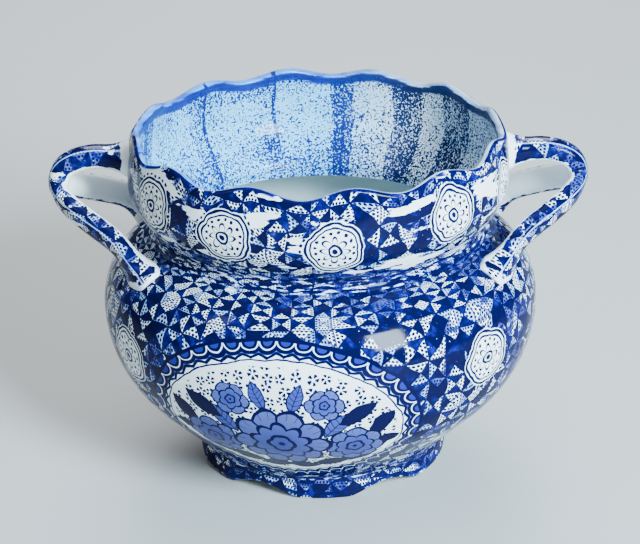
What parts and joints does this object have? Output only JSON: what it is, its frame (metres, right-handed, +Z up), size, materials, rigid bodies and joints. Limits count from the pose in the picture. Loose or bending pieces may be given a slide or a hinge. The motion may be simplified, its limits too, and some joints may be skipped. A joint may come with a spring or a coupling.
{
  "type": "jardiniere",
  "caption": "Squat glazed jardiniere with a wide wavy collar, forked side handles and an arched foot ring, to hold a plant on a table or sill.",
  "frame": {"origin": "middle of the base, on the plane of the foot pads", "axes": "+Z up along the axis of the pot, +X through the right handle, -Y toward the viewer of the picture"},
  "size_m": [0.2934, 0.24, 0.1924],
  "materials": {
    "printed_glaze": "clear gloss glaze over a cobalt print on white earthenware",
    "white_glaze": "clear gloss glaze on white earthenware"
  },
  "bodies": {
    "root": {"bowl": "printed_glaze", "collar": "printed_glaze", "foot_ring": "printed_glaze", "neck_joint": "white_glaze", "foot_joint": "white_glaze", "left_handle": "printed_glaze", "right_handle": "printed_glaze", "left_handle_joints": "white_glaze", "right_handle_joints": "white_glaze"}
  },
  "joints": []
}
